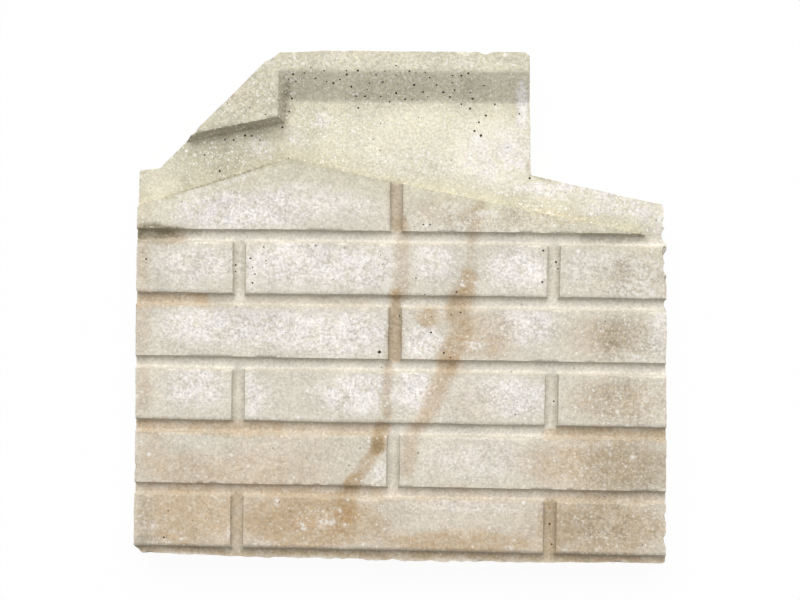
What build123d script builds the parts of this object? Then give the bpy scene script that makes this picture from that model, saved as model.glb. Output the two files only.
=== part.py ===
from build123d import *

import os
from math import atan, cos, degrees, radians, sin, tan

# Firebox side panel, cast in one piece of refractory concrete. Its face is a running-bond brick wall that
# ends in a low gable, and above that a smooth recess lies under a raised rim and a raised corner block.
#
# The panel lies on its flat back, brick face up: +X runs along its foot, +Y up the panel as it stands in
# the firebox, +Z out of the brick face. The origin is the middle of its box, on the back. Up to the last
# step it is drawn with x from the left end of the foot and y up from the foot. Lengths are millimetres,
# angles degrees.

# Slab
foot_width = 531.0
thickness = 38.0
corner_round = 3.0  # outline corners
edge_round = 1.5  # front edge, all round

# Brickwork
courses = 6
course_pitch = 63.5
brick_pitch = 312.0
bond_start = 103.8  # first upright joint of the bottom course, from the left end of the foot
foot_strip = 9.0  # rebate below the bottom course
joint_width = 13.5  # at the brick faces
joint_wall = 2.0  # run of each sloping joint wall
joint_depth = 5.0
brick_round = 0.8

# Hood outline, above the foot of the top course
hood_height = 177.5
left_inset = 1.0  # lean of the left side, from its knee to its shoulder
left_shoulder_rise = 57.8
ledge_width = 21.2  # from the panel's left side to the foot of the sloped side
ledge_rise = 2.5
slope_angle = 45.0  # sloped side, from the level
tab_width = 250.6  # along the top edge
tab_spread = 3.5  # lean of the tab's right side, from the top edge to the notch
shoulder_angle = 12.0  # right shoulder, from the level
right_shoulder_rise = 29.2
right_inset = 3.5  # lean of the right side, from its knee to its shoulder
foot_flare = 4.5  # lean of the right side, from its knee to the foot

# Hood recess
rim_height = 20.0  # from the top edge down to the brow
brow_run = 28.5  # sloping face under the rim
hood_depth = 14.0  # at the foot of the brow
block_lap = 2.0  # right side of the corner block, from the top of the sloped side
block_height = 45.0  # right side of the corner block, below the brow
block_foot_angle = 12.2  # its lower side falls to the left
block_wall_run = 7.0  # its sloping walls, at the full depth
gable_peak = 150.5  # from the left end of the foot
gable_rise = 69.5  # above the foot of the top course
gable_left_angle = 17.9
gable_right_angle = 11.25
gable_wall_angle = 2.5  # lean of the wall from the gable down to the recess

# Heights and places that follow from these
spring = foot_strip + (courses - 1) * course_pitch  # foot of the top course
knee = spring - joint_width / 2  # where both sides change their lean
height = spring + hood_height
brow = height - rim_height
brow_foot = brow - brow_run
ledge = spring + left_shoulder_rise + ledge_rise
tab_left = ledge_width + (height - ledge) / tan(radians(slope_angle))


def outline():
    """The panel's outline, its corners rounded apart from the knees, which hardly turn."""
    right_knee = foot_width - foot_flare
    shoulder = Vector(right_knee - right_inset, spring + right_shoulder_rise)
    notch = tab_left + tab_width + tab_spread
    notch_height = shoulder.Y + (shoulder.X - notch) * tan(radians(shoulder_angle))
    corners = [
        (0, 0),
        (foot_width, 0),
        (right_knee, knee),
        (shoulder.X, shoulder.Y),
        (notch, notch_height),
        (tab_left + tab_width, height),
        (tab_left, height),
        (ledge_width, ledge),
        (left_inset, spring + left_shoulder_rise),
        (0, knee),
    ]
    shape = make_face(Polyline(*corners, close=True))
    turns = [corner for corner in shape.vertices() if abs(corner.Y - knee) > corner_round]
    return fillet(turns, corner_round)


def slab():
    """The plain slab, with its front edge rounded."""
    blank = extrude(outline(), thickness)
    front = blank.faces().sort_by(Axis.Z)[-1]
    return fillet(front.edges(), edge_round)


def brick(left, right, foot, top):
    """One raised brick, given by the sides of its face. Its walls spread towards the joint floor."""
    middle = Pos((left + right) / 2, (foot + top) / 2, thickness - joint_depth)
    footprint = Rectangle(right - left + 2 * joint_wall, top - foot + 2 * joint_wall)
    block = extrude(middle * footprint, joint_depth, taper=degrees(atan(joint_wall / joint_depth)))
    face = block.faces().sort_by(Axis.Z)[-1]
    return fillet(face.edges(), brick_round)


def bricks():
    """All the bricks. The end ones run on past the panel's sides, and the top course past the gable."""
    wall = []
    for course in range(courses):
        foot = foot_strip + course * course_pitch
        top = height if course == courses - 1 else foot + course_pitch - joint_width
        joint = bond_start + (course % 2) * brick_pitch / 2
        while joint > 0:
            joint -= brick_pitch
        while joint < foot_width:
            wall.append(brick(joint + joint_width / 2, joint + brick_pitch - joint_width / 2, foot, top))
            joint += brick_pitch
    return wall


def joints():
    """The joints between the bricks as a solid to cut out. It ends at the brow, so the rim is left whole."""
    layer = Pos(foot_width / 2, 0, thickness) * Box(2 * foot_width, 2 * brow_foot, 2 * joint_depth)
    return layer - bricks()


def recess_wall(x, y, heading, lean):
    """The plane of a recess wall, through a point of the panel's face. Seen from in front it runs along
    its heading with the recess on its left, and it leans back so that the recess narrows downwards."""
    along = radians(heading)
    back = radians(lean)
    inwards = (-sin(along) * cos(back), cos(along) * cos(back), sin(back))
    return Plane(origin=(x, y, thickness), z_dir=inwards)


def recess(left, right, walls):
    """One half of the hood recess, over the width from left to right, as a solid to cut out."""
    floor_slope = (hood_depth - joint_depth) / (brow_foot - spring)
    floor = Plane(origin=(0, spring, thickness - joint_depth), z_dir=(0, floor_slope, 1))
    under_brow = recess_wall(0, brow, 180, degrees(atan(brow_run / hood_depth)))
    middle = Pos((left + right) / 2, height, thickness)
    hollow = middle * Box(right - left, 2 * (height - knee), 2 * thickness)
    for plane in [floor, under_brow, *walls]:
        hollow = split(hollow, bisect_by=plane, keep=Keep.TOP)
    return hollow


def hood_recess():
    """Both halves of the hood recess: right of the corner block, and below it."""
    block_side = tab_left + block_lap
    block_foot = brow - block_height
    block_lean = degrees(atan(block_wall_run / hood_depth))
    peak = spring + gable_rise
    right_half = recess(
        0,
        2 * foot_width,
        [
            recess_wall(gable_peak, peak, -gable_right_angle, gable_wall_angle),
            recess_wall(block_side, block_foot, -90, block_lean),
        ],
    )
    left_half = recess(
        -foot_width,
        max(block_side, gable_peak) + block_wall_run,
        [
            recess_wall(gable_peak, peak, gable_left_angle, gable_wall_angle),
            recess_wall(block_side, block_foot, 180 + block_foot_angle, block_lean),
        ],
    )
    return [right_half, left_half]


def refractory_panel():
    """The whole casting, with its origin at the middle of its box, on the back."""
    panel = slab() - joints()
    for half in hood_recess():
        panel -= half
    middle = panel.bounding_box().center()
    return Pos(-middle.X, -middle.Y, 0) * panel


os.makedirs("parts", exist_ok=True)
export_step(refractory_panel(), "parts/refractory_panel.step")
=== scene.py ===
import random
from math import radians, tan

import bmesh
import bpy
import numpy as np
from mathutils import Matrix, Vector, kdtree, noise


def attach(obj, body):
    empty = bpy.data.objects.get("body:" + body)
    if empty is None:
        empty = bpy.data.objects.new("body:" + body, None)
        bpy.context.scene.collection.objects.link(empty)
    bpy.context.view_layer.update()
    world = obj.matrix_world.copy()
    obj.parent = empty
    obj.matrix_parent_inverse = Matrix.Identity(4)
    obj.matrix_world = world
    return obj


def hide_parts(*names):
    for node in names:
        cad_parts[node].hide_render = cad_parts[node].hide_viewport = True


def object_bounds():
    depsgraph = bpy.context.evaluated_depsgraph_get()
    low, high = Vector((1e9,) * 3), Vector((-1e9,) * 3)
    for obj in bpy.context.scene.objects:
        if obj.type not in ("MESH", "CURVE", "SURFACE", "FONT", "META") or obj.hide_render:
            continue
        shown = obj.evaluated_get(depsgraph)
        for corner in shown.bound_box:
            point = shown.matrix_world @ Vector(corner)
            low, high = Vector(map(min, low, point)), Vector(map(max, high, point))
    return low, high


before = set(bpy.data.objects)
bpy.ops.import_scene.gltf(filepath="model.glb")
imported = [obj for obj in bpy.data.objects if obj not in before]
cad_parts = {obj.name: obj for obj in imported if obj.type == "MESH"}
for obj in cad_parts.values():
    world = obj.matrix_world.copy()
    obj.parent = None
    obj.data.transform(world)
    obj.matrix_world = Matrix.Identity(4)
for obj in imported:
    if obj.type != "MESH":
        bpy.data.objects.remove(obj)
cad_low, cad_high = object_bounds()


# The casting: a slab of refractory concrete, poured face down into a brick-pattern mould and struck off
# flat at the back. Its mesh is the solid's own, drawn again as a fine net so that its skin can be uneven,
# its edges worn and chipped, its foot lumpy with flash, and its face pitted by air bubbles.
mm = 0.001
net_depth = 8  # the net has 2 to this power cells along the frame that it is drawn in
net_share = 0.93  # share of that frame that the panel fills
back_pitch = 12 * mm  # coarser net on the flat back

shell = bmesh.new()
shell.from_mesh(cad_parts["refractory_panel"].data)
bmesh.ops.remove_doubles(shell, verts=shell.verts, dist=0.01 * mm)
drawn = bpy.data.objects.new("drawn", bpy.data.meshes.new("drawn"))
shell.to_mesh(drawn.data)
shell.free()
bpy.context.scene.collection.objects.link(drawn)
net = drawn.modifiers.new("net", "REMESH")
net.mode = "SHARP"
net.octree_depth = net_depth
net.scale = net_share
net.use_remove_disconnected = False
netted = bpy.data.meshes.new_from_object(drawn.evaluated_get(bpy.context.evaluated_depsgraph_get()))
casting = bmesh.new()
casting.from_mesh(netted)
bpy.data.objects.remove(drawn)
bpy.data.meshes.remove(netted)


def rule(bm, faces, axis, pitch):
    """Cuts these faces along planes across an axis, a pitch apart, and returns the faces they become."""
    across = Vector((0, 0, 0))
    across[axis] = 1
    place = cad_low[axis] + pitch / 2
    while place < cad_high[axis]:
        parts = [*faces, *dict.fromkeys(edge for face in faces for edge in face.edges)]
        cut = bmesh.ops.bisect_plane(
            bm,
            geom=parts,
            dist=0.1 * mm,
            plane_co=across * place,
            plane_no=across,
        )
        faces = [part for part in cut["geom"] if isinstance(part, bmesh.types.BMFace)]
        place += pitch
    return faces


def looks_back(face):
    return face.normal.z < -0.99


casting.normal_update()
inner = [edge for edge in casting.edges if all(map(looks_back, edge.link_faces))]
bmesh.ops.dissolve_edges(casting, edges=inner, use_verts=True, use_face_split=False)
back = [face for face in casting.faces if looks_back(face)]
for axis in (0, 1):
    back = rule(casting, back, axis, back_pitch)

# Worn edges and clogged corners: brick edges that stand out are rubbed down in patches, and the mix stuck
# in the mould's corners, so that the joints have a soft foot. The gable's edge stays sharp.
worn_turn = radians(20)
wear_wavelength = 22 * mm
gable_x = -115 * mm
gable_y = 144 * mm
gable_left = tan(radians(17.9))
gable_right = tan(radians(11.25))


def above_gable(place):
    """How far a place lies above the gable's edge."""
    fall = gable_left if place.x < gable_x else gable_right
    return place.y - gable_y + fall * abs(place.x - gable_x)


def smooth_at(bm, is_rough):
    """Smooths the points of the edges that a test picks by their turn, positive where they stand out."""
    rough = [
        vert
        for edge in bm.edges
        if len(edge.link_faces) == 2 and is_rough(edge.calc_face_angle_signed(), edge.verts[0].co)
        for vert in edge.verts
    ]
    rough = list(dict.fromkeys(rough))
    bmesh.ops.smooth_vert(bm, verts=rough, factor=0.5, use_axis_x=True, use_axis_y=True, use_axis_z=True)


casting.normal_update()
smooth_at(
    casting,
    lambda turn, place: turn > worn_turn
    and abs(above_gable(place)) > 6 * mm
    and noise.noise(place / wear_wavelength) > 0.35,
)
for clogging in range(2):
    casting.normal_update()
    smooth_at(casting, lambda turn, place: turn < -worn_turn and above_gable(place) < -3 * mm)

# Uneven skin: wavelength and height of the swells that lift it, and of the wobble that shifts it sideways
swells = [(70 * mm, 0.5 * mm), (18 * mm, 0.3 * mm), (6 * mm, 0.22 * mm)]
wobbles = [(60 * mm, 0.4 * mm), (9 * mm, 0.2 * mm)]
flash_reach = 3.6 * mm  # how far flash hangs out over the middle of the foot
flash_middle = -20 * mm
flash_half = 235 * mm
flash_band = cad_low.y + 7 * mm  # it starts from the slab this far up the foot
flash_blend = 5 * mm
flash_foot = 8 * mm  # height above the back where it starts, and over which it grows
flash_rise = 14 * mm
back_swell = 0.8 * mm

noise.seed_set(5)  # vector noise follows the clock unless it is seeded
casting.normal_update()
for vert in casting.verts:
    rest = vert.co.copy()
    on_back = rest.z < 0.5 * mm
    if not on_back:
        vert.co.z = min(vert.co.z, cad_high.z)
        for wavelength, height in swells:
            vert.co += vert.normal * height * noise.noise(rest / wavelength)
    for wavelength, reach in wobbles:
        shift = noise.noise_vector(rest / wavelength) * reach
        vert.co.xy += shift.xy
    if on_back:
        vert.co.z = max(0, back_swell * noise.noise(rest / (90 * mm)))
    if rest.y < flash_band and rest.z > flash_foot:
        spread = max(0, 1 - ((rest.x - flash_middle) / flash_half) ** 2)
        lumps = 0.75 + 0.6 * noise.noise(rest / (26 * mm)) + 0.5 * noise.noise(rest / (9 * mm))
        rise = min(1, (rest.z - flash_foot) / flash_rise) * min(1, (flash_band - rest.y) / flash_blend)
        vert.co.y -= flash_reach * spread * lumps * rise

# Chips: bites out of the edges, given by their middle at the front, their reach across and their reach
# down into the slab, in millimetres
bites = [
    (80, 256, 7, 30),
    (29, 256, 5, 12),
    (-146, 270, 30, 45),
    (-125, 750, 500, 4000),
    (64, 255, 5, 8),
    (127, 257, 9, 40),
    (-60, 256, 5, 8),
    (266, 73, 10, 45),
    (266, 86, 9, 45),
    (266, 51, 8.5, 45),
    (266.5, 41, 9, 45),
    (267, 5, 7.5, 30),
    (269, 56, 13, 4),
    (262, 29, 4, 6),
    (265, -48, 5, 6),
    (266, -150, 4, 5),
    (268, -205, 6, 12),
    (269, -228, 7, 20),
    (268, -256, 6, 40),
    (220, -255, 6, 8),
    (-270, -258, 13, 45),
    (-250, -256, 6, 10),
    (-268, -165, 5, 6),
    (-268, 60, 5, 6),
    (-269, 8, 6, 8),
    (-209, 172, 5, 6),
    (262, 104, 6, 14),
    (230, 112, 4, 5),
    (127, 206, 4, 6),
]
for x, y, across, down in bites:
    middle = Vector((x * mm, y * mm, cad_high.z))
    spread = Vector((across * mm, across * mm, down * mm))
    for vert in casting.verts:
        reach = vert.co - middle
        if abs(reach.x) < spread.x and abs(reach.y) < spread.y:
            share = Vector(part / whole for part, whole in zip(reach, spread)).length
            if share < 1:
                vert.co = middle + reach / share

nibbles = 90  # small chips along the edges of the bricks and of the slab
nibble_above = 20 * mm
nibble_least = 0.4
nibble_most = 1.0
chance = random.Random(7)


def stands_out(edge):
    """Tells whether the casting turns outwards at an edge by more than the worn turn."""
    return len(edge.link_faces) == 2 and edge.calc_face_angle_signed() > worn_turn


casting.normal_update()
edge_verts = [
    vert
    for vert in casting.verts
    if vert.co.z > nibble_above and any(stands_out(edge) for edge in vert.link_edges)
]
for vert in chance.sample(edge_verts, nibbles):
    vert.co -= vert.normal * chance.uniform(nibble_least, nibble_most) * mm

# Air bubbles: open pores, given by place and radius in millimetres. The brow caught most of them.
pores = [
    (-45, 233, 1.2), (-70, 221, 1.4), (-52, 217, 1.3), (-40, 209, 1.2), (5, 233, 1.2), (9, 219, 1.4),
    (18, 214, 1.1), (-8, 212, 1.3), (2, 206, 1.2), (40, 214, 1.4), (48, 228, 1.1), (50, 215, 1.2),
    (45, 209, 1.2), (56, 228, 1.1), (63, 230, 1.2), (68, 207, 1.3), (-58, 229, 1.2), (-28, 229, 1.0),
    (-110, 228, 1.2), (-88, 225, 1.0), (-78, 232, 1.0), (-22, 223, 1.1), (26, 226, 1.0), (33, 220, 1.0),
    (-100, 230, 1.0), (78, 219, 1.0), (-35, 221, 1.0), (-15, 204, 1.0), (-63, 224, 0.9), (22, 231, 0.9),
    (66, 197, 1.2), (75, 184, 1.1), (81, 190, 1.2), (70, 175, 1.3), (77, 170, 1.4), (57, 201, 1.0),
    (90, 201, 1.0), (-45, 197, 1.0), (-122, 178, 1.2), (-160, 168, 1.2), (-153, 168, 1.0), (-170, 165, 1.2),
    (-180, 164, 1.0), (-200, 149, 1.1), (-185, 133, 1.3), (-143, 163, 0.9), (-155, 176, 0.9),
    (-116, 193, 1.0), (-113, 206, 1.2), (-166, 38, 1.2), (-166, 33, 1.0), (-150, 45, 1.0), (-148, 20, 1.0),
    (140, 56, 1.2), (152, 45, 1.3), (154, 39, 1.1), (139, 26, 1.1), (-21, -46, 1.6), (-2, -11, 1.1),
    (2, -15, 0.9), (-164, -3, 1.1), (-158, -53, 1.0), (30, -25, 1.1), (43, -46, 1.2), (50, -51, 1.0),
    (58, -4, 1.0), (55, 15, 1.1), (127, 128, 1.3), (24, 12, 0.9), (14, 28, 0.9), (-256, 43, 1.0),
    (-137, 57, 0.9), (-86, 59, 0.9), (22, 82, 1.0), (27, 82, 0.9), (152, -92, 1.0), (151, -214, 1.1),
    (153, -236, 1.0), (-167, -216, 1.0), (-235, -235, 1.1), (-112, 230, 0.9), (-114, 224, 0.9),
    (-107, 222, 0.9), (-76, 223, 0.9), (-57, 233, 0.8), (-47, 209, 1.0), (-24, 208, 0.9), (-24, 228, 0.8),
    (-20, 232, 0.9), (-9, 237, 0.9), (-7, 228, 0.8), (22, 228, 1.1), (7, 206, 0.8), (27, 219, 0.8),
    (34, 216, 0.9), (24, 208, 0.8), (47, 218, 0.9), (49, 222, 0.8), (56, 225, 0.9), (65, 213, 0.9),
    (-149, 47, 0.9), (-146, 42, 0.8), (-149, 37, 0.9), (-147, 31, 0.9), (-149, 26, 0.8), (-146, 21, 0.9),
    (-150, 16, 0.8),
]
pore_depth = 2.0 * mm
pore_rim = 0.3 * mm
pore_taper = 0.12 * mm
faint_pores = 90  # smaller ones, anywhere on the face and the sides

casting.normal_update()
facing = kdtree.KDTree(len(casting.verts))
casting.verts.ensure_lookup_table()
for vert in casting.verts:
    if vert.normal.z > 0.25 and len(vert.link_faces) == 4:
        facing.insert((vert.co.x, vert.co.y, 0), vert.index)
facing.balance()
wanted = [(casting.verts[facing.find((x * mm, y * mm, 0))[1]], radius * mm) for x, y, radius in pores]
open_verts = [vert for vert in casting.verts if vert.co.z > 4 * mm and len(vert.link_faces) == 4]
wanted += [(vert, chance.uniform(0.5, 0.8) * mm) for vert in chance.sample(open_verts, faint_pores)]

bubble = {}
taken = set()
for vert, radius in wanted:
    around = {corner for face in vert.link_faces for corner in face.verts}
    if not around & taken:
        taken |= around
        bubble[vert] = radius
floors = [face for vert in bubble for face in vert.link_faces]
bmesh.ops.inset_region(casting, faces=floors, thickness=pore_rim, use_even_offset=True)
for vert, radius in bubble.items():
    rim = dict.fromkeys(corner for face in vert.link_faces for corner in face.verts if corner is not vert)
    for corner in rim:
        corner.co = vert.co + (corner.co - vert.co).normalized() * radius * chance.uniform(0.75, 1.2)
bmesh.ops.inset_region(casting, faces=floors, thickness=pore_taper, depth=-pore_depth, use_even_offset=True)
pore_layer = casting.verts.layers.float.new("pore")
for face in floors:
    for vert in face.verts:
        vert[pore_layer] = 1

sharp_turn = radians(62)  # edges that turn by more are shaded as edges
panel = bpy.data.objects.new("panel", bpy.data.meshes.new("panel"))
bpy.context.scene.collection.objects.link(panel)
casting.normal_update()
for face in casting.faces:
    face.smooth = True
    face.material_index = 1 if looks_back(face) else 0
casting.to_mesh(panel.data)
casting.free()
panel.data.set_sharp_from_angle(angle=sharp_turn)
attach(panel, "root")
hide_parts("refractory_panel")

# Stains: each is kept as a share on the panel's points, where the material of the face reads it


def soften(away):
    """1 in the middle of a stain, fading to 0 a third beyond its nominal edge."""
    fade = np.clip((1.33 - away) / 0.9, 0, 1)
    return fade * fade * (3 - 2 * fade)


def patch(x, y, half_x, half_y):
    """Share of a soft oval patch at each point of the panel, seen from in front."""
    return soften(np.hypot((plan[:, 0] - x) / half_x, (plan[:, 1] - y) / half_y))


def streak(path, half_width):
    """Share of a run-down streak along a path, at each point of the panel."""
    nearest = np.full(len(plan), np.inf)
    for start, end in zip(path, path[1:]):
        run = np.subtract(end, start)
        along = np.clip((plan - start) @ run / (run @ run), 0, 1)
        nearest = np.minimum(nearest, np.linalg.norm(plan - start - np.outer(along, run), axis=1))
    return soften(nearest / half_width)


def stain(name, patches=(), streaks=()):
    """Stores a stain on the panel's points, from its patches and streaks. The last value of each is how
    strong it is."""
    clear = np.ones(len(plan))
    for *oval, strength in patches:
        clear *= 1 - strength * patch(*oval)
    for path, half_width, strength in streaks:
        clear *= 1 - strength * streak(path, half_width)
    store(name, (1 - clear) * on_face)


def store(name, shares):
    """Stores a share for each of the panel's points."""
    layer = panel.data.attributes.new(name, "FLOAT", "POINT")
    layer.data.foreach_set("value", shares.astype(np.float32))


points = np.empty(3 * len(panel.data.vertices), dtype=np.float32)
panel.data.vertices.foreach_get("co", points)
points = points.reshape(-1, 3) / mm
bend = np.array([
    noise.noise_vector(vert.co / (30 * mm)) * 4 + noise.noise_vector(vert.co / (9 * mm)) * 2
    for vert in panel.data.vertices
])
plan = (points + bend)[:, :2]  # stains spread unevenly, so their outlines are bent by some millimetres
on_face = np.clip((points[:, 2] - 8) / 12, 0, 1)  # they lie on the face, and fade down the sides

# Salt bloom: white salts that came out in the hearts of the bricks
stain("bloom", [
    (-83, 186, 9, 9, 0.6), (-106, 168, 10, 11, 0.5), (-144, 156, 15, 11, 0.6), (118, 210, 7, 16, 1.0),
    (118, 190, 6, 14, 0.8), (112, 155, 14, 22, 0.5), (246, 87, 13, 18, 0.45), (170, 117, 70, 8, 0.7),
    (92, 150, 40, 32, 0.4), (215, 100, 40, 12, 0.5), (20, 140, 70, 14, 0.2),
    (-165, 92, 70, 20, 0.75), (-140, 95, 36, 18, 0.5), (-60, 98, 40, 14, 0.25), (-95, 105, 50, 18, 0.35),
    (-205, 38, 45, 20, 0.45), (-75, 35, 95, 22, 0.4),
    (-110, 45, 52, 20, 0.6), (-40, 40, 42, 20, 0.65), (-105, 60, 26, 7, 0.5), (35, 45, 24, 18, 0.6),
    (115, 38, 30, 20, 0.8), (-190, -22, 58, 22, 0.7), (-120, -25, 40, 20, 0.5), (-60, -30, 45, 19, 0.7),
    (-80, -25, 90, 24, 0.4),
    (22, -35, 18, 16, 0.8), (120, -18, 38, 18, 0.95), (256, -20, 8, 25, 0.5), (-205, -85, 32, 20, 0.7),
    (-145, -90, 20, 20, 0.5), (-45, -88, 38, 20, 0.9), (15, -82, 18, 22, 1.0), (110, -88, 38, 20, 0.8),
    (60, -90, 90, 22, 0.25),
    (80, -152, 52, 20, 0.5), (-18, -165, 9, 12, 0.7), (-150, -155, 60, 10, 0.25), (70, -197, 62, 9, 0.5),
    (215, -215, 30, 12, 0.3), (225, 40, 25, 18, 0.35), (178, 40, 14, 18, 0.3),
])

# Heat and clay: tan to brown scorching, deepest in the bottom courses and to the right
stain("tan", [
    (-215, -215, 58, 34, 0.95), (-100, -215, 88, 34, 1.0), (60, -234, 92, 14, 0.8),
    (205, -215, 62, 34, 0.75), (-160, -166, 112, 20, 0.55), (-110, -140, 75, 20, 0.3),
    (-245, -150, 20, 28, 0.4), (190, -155, 75, 28, 0.72), (235, -155, 40, 28, 0.35),
    (215, -90, 52, 24, 0.55), (240, -95, 18, 20, 0.4), (205, -28, 44, 24, 0.5),
    (207, -30, 14, 14, 0.5), (195, 30, 25, 20, 0.1), (235, 35, 32, 25, 0.4), (40, 95, 36, 14, 0.3),
    (120, 88, 85, 12, 0.25), (-259, 40, 10, 32, 0.4), (-259, -25, 10, 30, 0.4), (-256, -85, 10, 30, 0.45),
    (-259, 85, 8, 25, 0.15), (28, -8, 15, 12, 0.5), (80, -40, 40, 12, 0.3), (75, -95, 30, 22, 0.25),
    (190, -220, 75, 30, 0.6), (60, -205, 90, 30, 0.25), (82, -27, 34, 24, 0.45),
    (-85, -217, 70, 26, 0.5), (60, -236, 80, 10, 0.3), (75, -150, 60, 24, 0.15),
    (-165, 208, 22, 16, 0.2), (60, -62, 12, 8, 0.3), (85, -20, 40, 24, 0.2),
], [
    ([(-264, 67), (-225, 67)], 8, 0.75),
    ([(-264, 3), (-200, 3)], 8, 0.8),
    ([(-200, 3), (-30, 3)], 6, 0.25),
    ([(-264, -124), (-120, -124)], 8, 0.75),
    ([(-120, -124), (-20, -124)], 8, 0.55),
    ([(150, -124), (264, -124)], 8, 0.8),
    ([(-264, -187), (-20, -187)], 8, 0.42),
    ([(-20, -187), (150, -187)], 8, 0.3),
    ([(150, -187), (264, -187)], 8, 0.4),
    ([(-264, -249), (264, -249)], 6, 0.8),
    ([(50, -58), (37, -85), (23, -116)], 11, 0.58),
    ([(62, 10), (57, -5)], 12, 0.5),
    ([(52, -40), (48, -55)], 12, 0.5),
    ([(-163, -196), (-163, -238)], 7, 0.6),
    ([(151, -196), (151, -238)], 8, 0.8),
])

# Rust: two runs of rusty water from the rack above, down over joints and bricks
stain("rust", [
    (-21, -139, 9, 9, 0.9), (-85, -217, 66, 24, 0.28), (60, -236, 80, 10, 0.15), (-190, -165, 70, 20, 0.05),
], [
    ([(-6, 116), (-5, 80)], 8, 0.45),
    ([(-4, 80), (0, 70), (1, 12)], 9, 0.32),
    ([(-5, 7), (-5, -50)], 8, 0.72),
    ([(-12, -58), (-12, -110)], 5, 0.4),
    ([(-17, -122), (-20, -136)], 8, 0.6),
    ([(-22, -144), (-36, -164), (-44, -178)], 8, 0.5),
    ([(-44, -177), (-50, -191), (-54, -204), (-59, -217)], 10, 0.6),
    ([(77, 100), (72, 70)], 8, 0.32),
    ([(70, 66), (66, 36)], 5, 0.2),
    ([(66, 30), (66, 20)], 9, 0.5),
    ([(62, 10), (57, -5), (60, -25), (48, -50)], 13, 0.42),
    ([(50, -58), (37, -85), (23, -116)], 9, 0.15),
    ([(14, -126), (8, -165)], 10, 0.35),
    ([(28, -6), (24, -14)], 7, 0.35),
    ([(151, -196), (151, -238)], 8, 0.3),
])

# Soot and dirt, in the corners and under ledges, and darker at both ends of the top bed joint.
# The patches on the brow band below the top rim and on the block's foot wall are painted shade.
stain("soot_and_shade", [
    (-188, 150, 46, 18, 0.3), (-150, 172, 60, 10, 0.3), (-252, -238, 16, 8, 0.3), (-170, 125, 30, 8, 0.1),
    (207, -30, 12, 12, 0.25), (225, -160, 55, 30, 0.36), (225, -90, 40, 25, 0.25), (228, -28, 40, 24, 0.22),
    (-117, 205, 6, 26, 0.5), (225, 35, 42, 22, 0.26), (225, 77, 22, 5, 0.22),
    (-155, 208, 50, 36, 0.1), (205, -215, 60, 34, 0.3), (-10, 216, 100, 14, 0.1),
    (-255, -210, 10, 25, 0.25), (-21, -137, 9, 9, 0.42),
    (-255, 69, 32, 9, 0.95), (-225, 70, 30, 5, 0.3), (246, 84, 12, 16, 0.22), (-215, 122, 40, 12, 0.05),
], [
    ([(180, 71), (238, 71)], 5, 0.4),
    ([(-262, -247), (262, -247)], 5, 0.35),
    ([(-235, 106), (-115, 145), (-10, 124)], 3, 0.2),
    ([(-215, 123), (-125, 152)], 9, 0.2),
    ([(150, -124), (264, -124)], 6, 0.15),
    ([(126, 150), (126, 131), (150, 127)], 1.5, 0.5),
])

# Clean cream skin of the smooth recess
stain("cream", [
    (20, 172, 120, 30, 0.75), (90, 150, 50, 30, 0.5), (190, 110, 70, 12, 0.5), (-245, 120, 18, 14, 0.5),
], [
    ([(60, 135), (150, 118), (235, 98)], 3, 0.5),
    ([(130, 116), (240, 90)], 2.5, 0.5),
    ([(90, 141), (200, 116)], 2, 0.4),
])

# White crusts and scuffs, small and bright
stain("salt", [
    (119, 212, 7, 15, 0.9), (120, 191, 5, 14, 0.8), (254, 92, 7, 12, 0.6), (73, 168, 6, 5, 1.0),
    (51, 99, 11, 6, 0.6), (84, 92, 16, 5, 0.6), (-38, -104, 11, 6, 0.95), (-25, -74, 8, 4, 0.4),
    (-151, -72, 6, 7, 0.6), (-150, -106, 6, 9, 0.6), (-161, 6, 6, 8, 0.5), (71, -37, 15, 4, 0.7),
    (252, -19, 6, 14, 0.7), (233, -48, 12, 4, 0.6), (62, 23, 3, 2, 0.9), (73, 24, 3, 2, 0.9),
    (233, 21, 23, 12, 0.65), (-120, -198, 4, 4, 0.8), (-74, -216, 11, 6, 0.7), (-97, -221, 4, 4, 0.8),
    (-61, -205, 3, 3, 0.8), (-55, -219, 4, 3, 0.7), (-252, -222, 9, 6, 0.5), (-169, -228, 3, 10, 0.5),
    (-137, -240, 11, 3, 0.5), (208, -145, 2, 2, 0.9), (231, -146, 2.5, 2, 0.9), (111, -240, 5, 2.5, 0.6),
    (203, -226, 3, 2, 0.8), (200, -239, 4, 3, 0.6), (247, -92, 13, 18, 0.45), (131, -158, 2, 2, 0.9),
    (-149, 22, 5, 9, 0.6), (-77, 57, 12, 4, 0.5), (-112, 57, 10, 4, 0.4), (-13, 20, 6, 9, 0.4),
    (-136, 243, 8, 8, 0.4), (-70, 245, 10, 4, 0.4), (60, 240, 12, 4, 0.4), (95, 152, 36, 30, 0.3),
    (242, 40, 20, 14, 0.5), (200, 42, 12, 14, 0.4), (215, 52, 20, 6, 0.5), (185, 40, 8, 14, 0.4),
], [
    ([(-225, 106), (-150, 130)], 3, 0.6),
])

# White grains of aggregate that show through, where the skin is thin
stain("grit", [
    (-165, 210, 60, 38, 1.0), (-190, 150, 50, 22, 0.5), (0, 243, 140, 10, 1.0), (-70, 180, 50, 26, 0.5),
    (100, 88, 100, 16, 1.0), (220, 35, 50, 30, 1.0), (225, -30, 40, 26, 0.9), (225, -90, 45, 28, 0.8),
    (215, -155, 60, 28, 0.45), (215, -215, 55, 32, 0.5), (-75, -214, 26, 12, 0.9),
    (-220, -215, 50, 30, 0.1),
    (-150, 45, 120, 20, 0.4), (-120, 215, 20, 30, 0.5), (0, 215, 140, 20, 0.7),
    (30, 162, 110, 40, 0.45), (120, 40, 50, 22, 0.3), (-30, -30, 220, 24, 0.2), (180, 110, 80, 16, 0.25),
])

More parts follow.
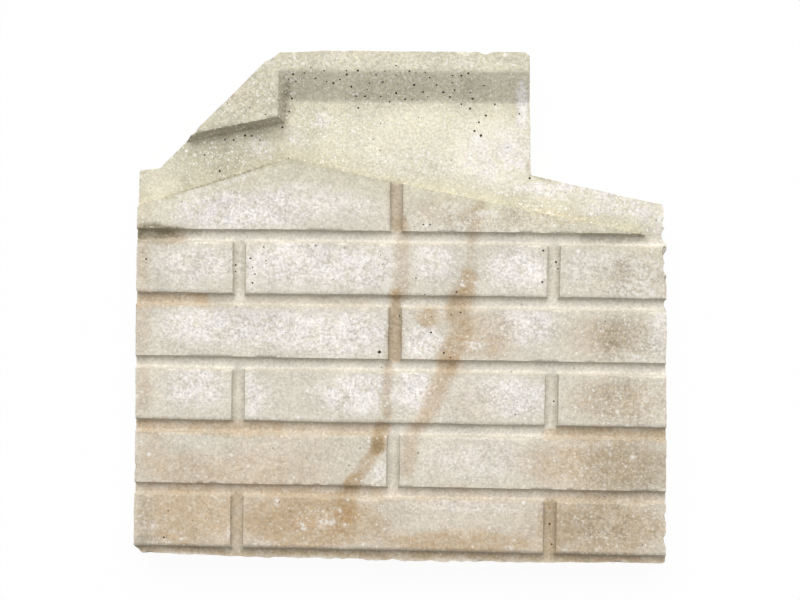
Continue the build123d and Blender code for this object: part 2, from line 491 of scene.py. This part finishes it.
# Joints: their floors keep the plain grey-cream skin, below the brick faces and short of the recess
sunk = np.clip((cad_high.z / mm - points[:, 2] - 0.7) / 1.6, 0, 1)
beyond = np.array([above_gable(vert.co) for vert in panel.data.vertices]) / mm
store("joint", np.where(beyond < -1, sunk, 0))

# Painted shade along both sides of the upright joints, where the casting is hollow from side to side
ends = np.empty(2 * len(panel.data.edges), dtype=np.int32)
panel.data.edges.foreach_get("vertices", ends)
ends = ends.reshape(-1, 2)
run = np.abs(points[ends[:, 1]] - points[ends[:, 0]])
ends = ends[run[:, 0] > run[:, 1]]
level = points[:, 2].astype(float)
for spreading in range(6):
    total = level.copy()
    count = np.ones(len(level))
    for near, far in (ends.T, ends.T[::-1]):
        np.add.at(total, near, level[far])
        np.add.at(count, near, 1)
    level = total / count
# stored as the corner share, which the face material turns into painted shade
store("corner", np.where(beyond < -1, np.clip((level - points[:, 2] - 0.2) / 1.3, 0, 1), 0))

# Recess: its skin is yellower than the bricks', and the change begins a little below the gable's edge
store("hood", np.clip((beyond + 32) / 32, 0, 1))

# Dirt in the seam at the foot of the gable's left edge
seam = np.interp(points[:, 0], [-245, -205, -145, -110, 0], [0.3, 1, 1, 0.3, 0])
store("seam", np.where((np.abs(beyond) < 1.5) & (sunk > 0.9), seam, 0))

# Skin of the face: the mix as it came out of the mould, cream to tan, with sand, dust and white aggregate
# in it. The stains lie over it one after the other, and the pores are dark inside.


def shown(red, green, blue):
    """A colour for a node, from the values that a screen shows it with."""
    shares = np.array([red, green, blue]) / 255
    linear = np.where(shares > 0.04045, ((shares + 0.055) / 1.055) ** 2.4, shares / 12.92)
    return (*linear, 1)


def feed(tree, socket, value):
    """Links a socket to another, or sets it."""
    if isinstance(value, bpy.types.NodeSocket):
        tree.links.new(value, socket)
    else:
        socket.default_value = value


def worked(tree, operation, *values):
    """A Math node's result."""
    sum_node = tree.nodes.new("ShaderNodeMath")
    sum_node.operation = operation
    for socket, value in zip(sum_node.inputs, values):
        feed(tree, socket, value)
    return sum_node.outputs["Value"]


def ranged(tree, value, low, high, to_low, to_high):
    """A value moved from one range into another, and held within it."""
    span = tree.nodes.new("ShaderNodeMapRange")
    for socket, given in zip(span.inputs, (value, low, high, to_low, to_high)):
        feed(tree, socket, given)
    return span.outputs["Result"]


def mixed(tree, share, under, over):
    """One colour over another."""
    mix = tree.nodes.new("ShaderNodeMix")
    mix.data_type = "RGBA"
    for socket, given in ((mix.inputs[0], share), (mix.inputs[6], under), (mix.inputs[7], over)):
        feed(tree, socket, given)
    return mix.outputs[2]


def cloud(tree, place, scale, detail, roughness=0.55, distortion=0.0):
    """A Noise texture's value."""
    texture = tree.nodes.new("ShaderNodeTexNoise")
    feed(tree, texture.inputs["Vector"], place)
    feed(tree, texture.inputs["Scale"], scale)
    feed(tree, texture.inputs["Detail"], detail)
    feed(tree, texture.inputs["Roughness"], roughness)
    feed(tree, texture.inputs["Distortion"], distortion)
    return texture.outputs["Fac"]


def group(name, inputs, outputs):
    """An empty shader node group with named sockets, and its input and output nodes."""
    tree = bpy.data.node_groups.new(name, "ShaderNodeTree")
    for way, sockets in (("INPUT", inputs), ("OUTPUT", outputs)):
        for label, kind in sockets:
            tree.interface.new_socket(label, in_out=way, socket_type=kind)
    return tree, tree.nodes.new("NodeGroupInput").outputs, tree.nodes.new("NodeGroupOutput").inputs


def placed(tree, made, **values):
    """A node group placed in a material, with its inputs fed."""
    spot = tree.nodes.new("ShaderNodeGroup")
    spot.node_tree = made
    for label, value in values.items():
        feed(tree, spot.inputs[label], value)
    return spot.outputs


# Grain of the concrete: sand of about 2 mm with finer dust in it, and slow clouds of paler and darker mix
grain, taken_in, given_out = group(
    "cast_grain",
    [("Place", "NodeSocketVector")],
    [("Tone", "NodeSocketFloat"), ("Height", "NodeSocketFloat")],
)
sand = cloud(grain, taken_in["Place"], 380, 1.5, 0.6)
dust = cloud(grain, taken_in["Place"], 800, 1.0)
clouds = cloud(grain, taken_in["Place"], 26, 2.0)
fine = worked(grain, "ADD", worked(grain, "MULTIPLY", sand, 0.75), worked(grain, "MULTIPLY", dust, 0.25))
tone = worked(grain, "ADD", fine, worked(grain, "MULTIPLY", worked(grain, "SUBTRACT", clouds, 0.5), 0.35))
feed(grain, given_out["Tone"], tone)
feed(grain, given_out["Height"], fine)

# Flecks of white aggregate: grains of 1 to 4 mm of uneven outline, more of them where the skin is thin
flecks, taken_in, given_out = group(
    "aggregate_flecks",
    [("Place", "NodeSocketVector"), ("Amount", "NodeSocketFloat")],
    [("Share", "NodeSocketFloat")],
)
stray = flecks.nodes.new("ShaderNodeTexNoise")
feed(flecks, stray.inputs["Vector"], taken_in["Place"])
feed(flecks, stray.inputs["Scale"], 600)
feed(flecks, stray.inputs["Detail"], 2)
nudge = flecks.nodes.new("ShaderNodeVectorMath")
nudge.operation = "MULTIPLY_ADD"
feed(flecks, nudge.inputs[0], stray.outputs["Color"])
feed(flecks, nudge.inputs[1], (2.4 * mm, 2.4 * mm, 2.4 * mm))
feed(flecks, nudge.inputs[2], taken_in["Place"])
share = 0.0
for pitch, size, odds in ((120, 0.17, 0.3), (240, 0.26, 0.7), (440, 0.32, 1.0)):
    cells = flecks.nodes.new("ShaderNodeTexVoronoi")
    feed(flecks, cells.inputs["Vector"], nudge.outputs["Vector"])
    feed(flecks, cells.inputs["Scale"], pitch)
    lot = flecks.nodes.new("ShaderNodeSeparateColor")
    feed(flecks, lot.inputs["Color"], cells.outputs["Color"])
    wanted_share = worked(flecks, "MULTIPLY", taken_in["Amount"], odds)
    there = worked(flecks, "GREATER_THAN", wanted_share, lot.outputs["Red"])
    reach = ranged(flecks, lot.outputs["Green"], 0, 1, 0.5 * size, 1.5 * size)
    heart = worked(flecks, "MULTIPLY", reach, 0.7)
    fringe = worked(flecks, "MULTIPLY", reach, 1.2)
    inside = ranged(flecks, cells.outputs["Distance"], heart, fringe, 1, 0)
    bright = ranged(flecks, lot.outputs["Blue"], 0, 1, 0.25, 1)
    fleck = worked(flecks, "MULTIPLY", worked(flecks, "MULTIPLY", inside, there), bright)
    share = worked(flecks, "MAXIMUM", share, fleck)
feed(flecks, given_out["Share"], share)

# Stain edge: breaks up the soft outline of a stain into blotches and specks
blotch, taken_in, given_out = group(
    "stain_edge",
    [("Place", "NodeSocketVector"), ("Stain", "NodeSocketFloat"), ("Breakup", "NodeSocketFloat")],
    [("Share", "NodeSocketFloat")],
)
patchy = worked(
    blotch,
    "ADD",
    worked(blotch, "MULTIPLY", cloud(blotch, taken_in["Place"], 80, 2.0), 0.5),
    worked(blotch, "MULTIPLY", cloud(blotch, taken_in["Place"], 330, 1.5), 0.5),
)
lift = worked(blotch, "MULTIPLY", ranged(blotch, patchy, 0.4, 0.6, -1, 1), taken_in["Breakup"])
edged = worked(blotch, "MULTIPLY", taken_in["Stain"], worked(blotch, "ADD", lift, 1))
feed(blotch, given_out["Share"], worked(blotch, "MINIMUM", edged, 1))

brick_colour = shown(217, 210, 195)
hood_colour = shown(215, 209, 186)
cream_colour = shown(234, 228, 206)
tan_colour = shown(199, 178, 150)
bloom_colour = shown(236, 230, 225)
joint_colour = shown(225, 219, 206)
rust_colour = shown(172, 140, 95)
soot_and_shade_colour = shown(142, 133, 110)
# painted shade: the colour that steep walls and joint corners are darkened towards
wall_shade_colour = shown(176, 166, 146)
side_colour = shown(196, 187, 167)
fleck_colour = shown(252, 250, 244)
pore_colour = shown(92, 78, 62)
plain_contrast = 0.46  # of the grain, and what bloom, grit and cream add to it
bloom_contrast = 0.32
grit_contrast = 0.22
cream_contrast = -0.1
plain_flecks = 0.18  # share of the aggregate that shows, and what bloom and grit add to it
bloom_flecks = 0.2
grit_flecks = 0.7

face_concrete = bpy.data.materials.new("cast_face")
face_concrete.use_nodes = True
tree = face_concrete.node_tree
shader = tree.nodes["Principled BSDF"]
own = tree.nodes.new("ShaderNodeTexCoord").outputs
place = own["Object"]


def kept(tree, name):
    """A share that is stored on the panel's points."""
    reader = tree.nodes.new("ShaderNodeAttribute")
    reader.attribute_name = name
    return reader.outputs["Fac"]


colour = mixed(tree, kept(tree, "hood"), brick_colour, hood_colour)
for name, over, breakup in (
    ("cream", cream_colour, 0.15),
    ("bloom", bloom_colour, 0.9),
    ("joint", joint_colour, 0.1),
    ("tan", tan_colour, 0.35),
    ("rust", rust_colour, 0.2),
    # soot, with painted shade on the brow band and the block's foot wall
    ("soot_and_shade", soot_and_shade_colour, 0.35),
    ("seam", soot_and_shade_colour, 0.5),
):
    share = placed(tree, blotch, Place=place, Stain=kept(tree, name), Breakup=breakup)["Share"]
    colour = mixed(tree, share, colour, over)
split_normal = tree.nodes.new("ShaderNodeSeparateXYZ")
feed(tree, split_normal.inputs["Vector"], own["Normal"])
split_place = tree.nodes.new("ShaderNodeSeparateXYZ")
feed(tree, split_place.inputs["Vector"], place)
# Painted shade: steep walls in the relief, and the corners of the upright joints, are darkened towards a
# dull wall colour
shaded_walls = ranged(tree, split_normal.outputs["Z"], 0.5, 0.9, 0.5, 0)
shaded_walls = worked(tree, "MAXIMUM", shaded_walls, worked(tree, "MULTIPLY", kept(tree, "corner"), 0.8))
in_relief = ranged(tree, split_place.outputs["Z"], 6 * mm, 30 * mm, 0, 1)
colour = mixed(tree, worked(tree, "MULTIPLY", shaded_walls, in_relief), colour, wall_shade_colour)
low_down = ranged(tree, split_place.outputs["Z"], 4 * mm, 24 * mm, 0.85, 0)
colour = mixed(tree, low_down, colour, side_colour)
skin = placed(tree, grain, Place=place)
rougher = worked(tree, "MULTIPLY_ADD", kept(tree, "bloom"), bloom_contrast, plain_contrast)
rougher = worked(tree, "MULTIPLY_ADD", kept(tree, "grit"), grit_contrast, rougher)
contrast = worked(tree, "MULTIPLY_ADD", kept(tree, "cream"), cream_contrast, rougher)
dapple = tree.nodes.new("ShaderNodeVectorMath")
dapple.operation = "SCALE"
feed(tree, dapple.inputs["Vector"], colour)
lift = worked(tree, "MULTIPLY", ranged(tree, skin["Tone"], 0.2, 0.8, -0.6, 0.6), contrast)
feed(tree, dapple.inputs["Scale"], worked(tree, "ADD", lift, 1.0))
bare = worked(tree, "SUBTRACT", 1, kept(tree, "joint"))
specks = ranged(tree, cloud(tree, place, 300, 2.0), 0.46, 0.56, 0.2, 1)
crust = worked(tree, "MULTIPLY", kept(tree, "salt"), specks)
amount = worked(tree, "MULTIPLY_ADD", kept(tree, "bloom"), bloom_flecks, plain_flecks)
amount = worked(tree, "MULTIPLY_ADD", kept(tree, "grit"), grit_flecks, amount)
amount = worked(tree, "MULTIPLY", amount, bare)
white = placed(tree, flecks, Place=place, Amount=amount)["Share"]
white = worked(tree, "MULTIPLY", white, ranged(tree, kept(tree, "tan"), 0, 1, 1, 0.6))
white = worked(tree, "MAXIMUM", white, crust)
colour = mixed(tree, worked(tree, "MULTIPLY", white, 0.9), dapple.outputs["Vector"], fleck_colour)
colour = mixed(tree, kept(tree, "pore"), colour, pore_colour)
feed(tree, shader.inputs["Base Color"], colour)
feed(tree, shader.inputs["Roughness"], ranged(tree, skin["Tone"], 0.3, 0.7, 0.95, 0.82))
shader.inputs["Specular IOR Level"].default_value = 0.25
relief = tree.nodes.new("ShaderNodeBump")
relief.inputs["Strength"].default_value = 0.6
relief.inputs["Distance"].default_value = 0.5 * mm
feed(tree, relief.inputs["Height"], worked(tree, "MULTIPLY_ADD", white, 0.25, skin["Height"]))
feed(tree, shader.inputs["Normal"], relief.outputs["Normal"])
panel.data.materials.append(face_concrete)

# The struck back: the same mix, drawn off with a straight board, so it is greyer, open and streaked
struck_colour = shown(196, 187, 167)
struck_shade = shown(166, 156, 136)
back_concrete = bpy.data.materials.new("struck_back")
back_concrete.use_nodes = True
tree = back_concrete.node_tree
shader = tree.nodes["Principled BSDF"]
place = tree.nodes.new("ShaderNodeTexCoord").outputs["Object"]
drag = tree.nodes.new("ShaderNodeMapping")
drag.inputs["Scale"].default_value = (12, 180, 1)
feed(tree, drag.inputs["Vector"], place)
streaks = cloud(tree, drag.outputs["Vector"], 1.0, 4.0, 0.6)
skin = placed(tree, grain, Place=place)
white = placed(tree, flecks, Place=place, Amount=0.3)["Share"]
colour = mixed(tree, ranged(tree, streaks, 0.35, 0.65, 0, 1), struck_colour, struck_shade)
dapple = tree.nodes.new("ShaderNodeVectorMath")
dapple.operation = "SCALE"
feed(tree, dapple.inputs["Vector"], colour)
feed(tree, dapple.inputs["Scale"], ranged(tree, skin["Tone"], 0.2, 0.8, 0.7, 1.3))
colour = mixed(tree, worked(tree, "MULTIPLY", white, 0.5), dapple.outputs["Vector"], fleck_colour)
feed(tree, shader.inputs["Base Color"], colour)
feed(tree, shader.inputs["Roughness"], ranged(tree, skin["Tone"], 0.3, 0.7, 0.98, 0.88))
shader.inputs["Specular IOR Level"].default_value = 0.25
relief = tree.nodes.new("ShaderNodeBump")
relief.inputs["Strength"].default_value = 0.9
relief.inputs["Distance"].default_value = 1.0 * mm
feed(tree, relief.inputs["Height"], worked(tree, "ADD", streaks, skin["Height"]))
feed(tree, shader.inputs["Normal"], relief.outputs["Normal"])
panel.data.materials.append(back_concrete)


# Studio: a pale floor that the panel lies on, an even white surround, and one wide soft lamp beyond the
# panel's top edge. The camera hangs over the panel and sees it nearly square on.
floor_size = 12.0
floor_glow = 0.95  # share of plain white that the camera sees on the floor, the rest takes the shadow
floor_colour = (0.92, 0.92, 0.92, 1)
lamp_energy = 2.95
lamp_tilt = 50  # from the zenith towards +Y, degrees
lamp_width = 60  # angle that the lamp spans, degrees
surround = 0.4  # light that comes from all round
camera_lens = 60
camera_place = Vector((0.0506, 0.0362, 1.3593))
camera_turn = (-1.277, 2.256, 0.727)  # degrees


def seen(tree):
    """1 for rays that show a surface to the camera, straight or by gloss or glass, and 0 for light."""
    path = tree.nodes.new("ShaderNodeLightPath").outputs
    gloss = worked(tree, "MAXIMUM", path["Is Glossy Ray"], path["Is Transmission Ray"])
    return worked(tree, "MAXIMUM", path["Is Camera Ray"], gloss)


ground = bmesh.new()
bmesh.ops.create_grid(ground, x_segments=1, y_segments=1, size=floor_size / 2)
floor = bpy.data.objects.new("floor", bpy.data.meshes.new("floor"))
ground.to_mesh(floor.data)
ground.free()
bpy.context.scene.collection.objects.link(floor)
floor.location.z = -0.2 * mm

paper = bpy.data.materials.new("white_paper")
paper.use_nodes = True
tree = paper.node_tree
shader = tree.nodes["Principled BSDF"]
shader.inputs["Base Color"].default_value = floor_colour
shader.inputs["Roughness"].default_value = 1.0
shader.inputs["Specular IOR Level"].default_value = 0.0
glow = tree.nodes.new("ShaderNodeEmission")
blend = tree.nodes.new("ShaderNodeMixShader")
feed(tree, blend.inputs["Fac"], worked(tree, "MULTIPLY", seen(tree), floor_glow))
tree.links.new(shader.outputs["BSDF"], blend.inputs[1])
tree.links.new(glow.outputs["Emission"], blend.inputs[2])
tree.links.new(blend.outputs["Shader"], tree.nodes["Material Output"].inputs["Surface"])
floor.data.materials.append(paper)

world = bpy.data.worlds.new("surround")
bpy.context.scene.world = world
world.use_nodes = True
tree = world.node_tree
sky = tree.nodes["Background"]
sky.inputs["Color"].default_value = (1, 1, 1, 1)
feed(tree, sky.inputs["Strength"], ranged(tree, seen(tree), 0, 1, surround, 1))

lamp = bpy.data.objects.new("lamp", bpy.data.lights.new("lamp", "SUN"))
lamp.data.energy = lamp_energy
lamp.data.angle = radians(lamp_width)
lamp.rotation_euler = (-radians(lamp_tilt), 0, 0)
bpy.context.scene.collection.objects.link(lamp)

camera = bpy.data.objects.new("camera", bpy.data.cameras.new("camera"))
camera.data.lens = camera_lens
camera.location = camera_place
camera.rotation_euler = [radians(angle) for angle in camera_turn]
bpy.context.scene.collection.objects.link(camera)
bpy.context.scene.camera = camera
bpy.context.scene.view_settings.view_transform = "Standard"
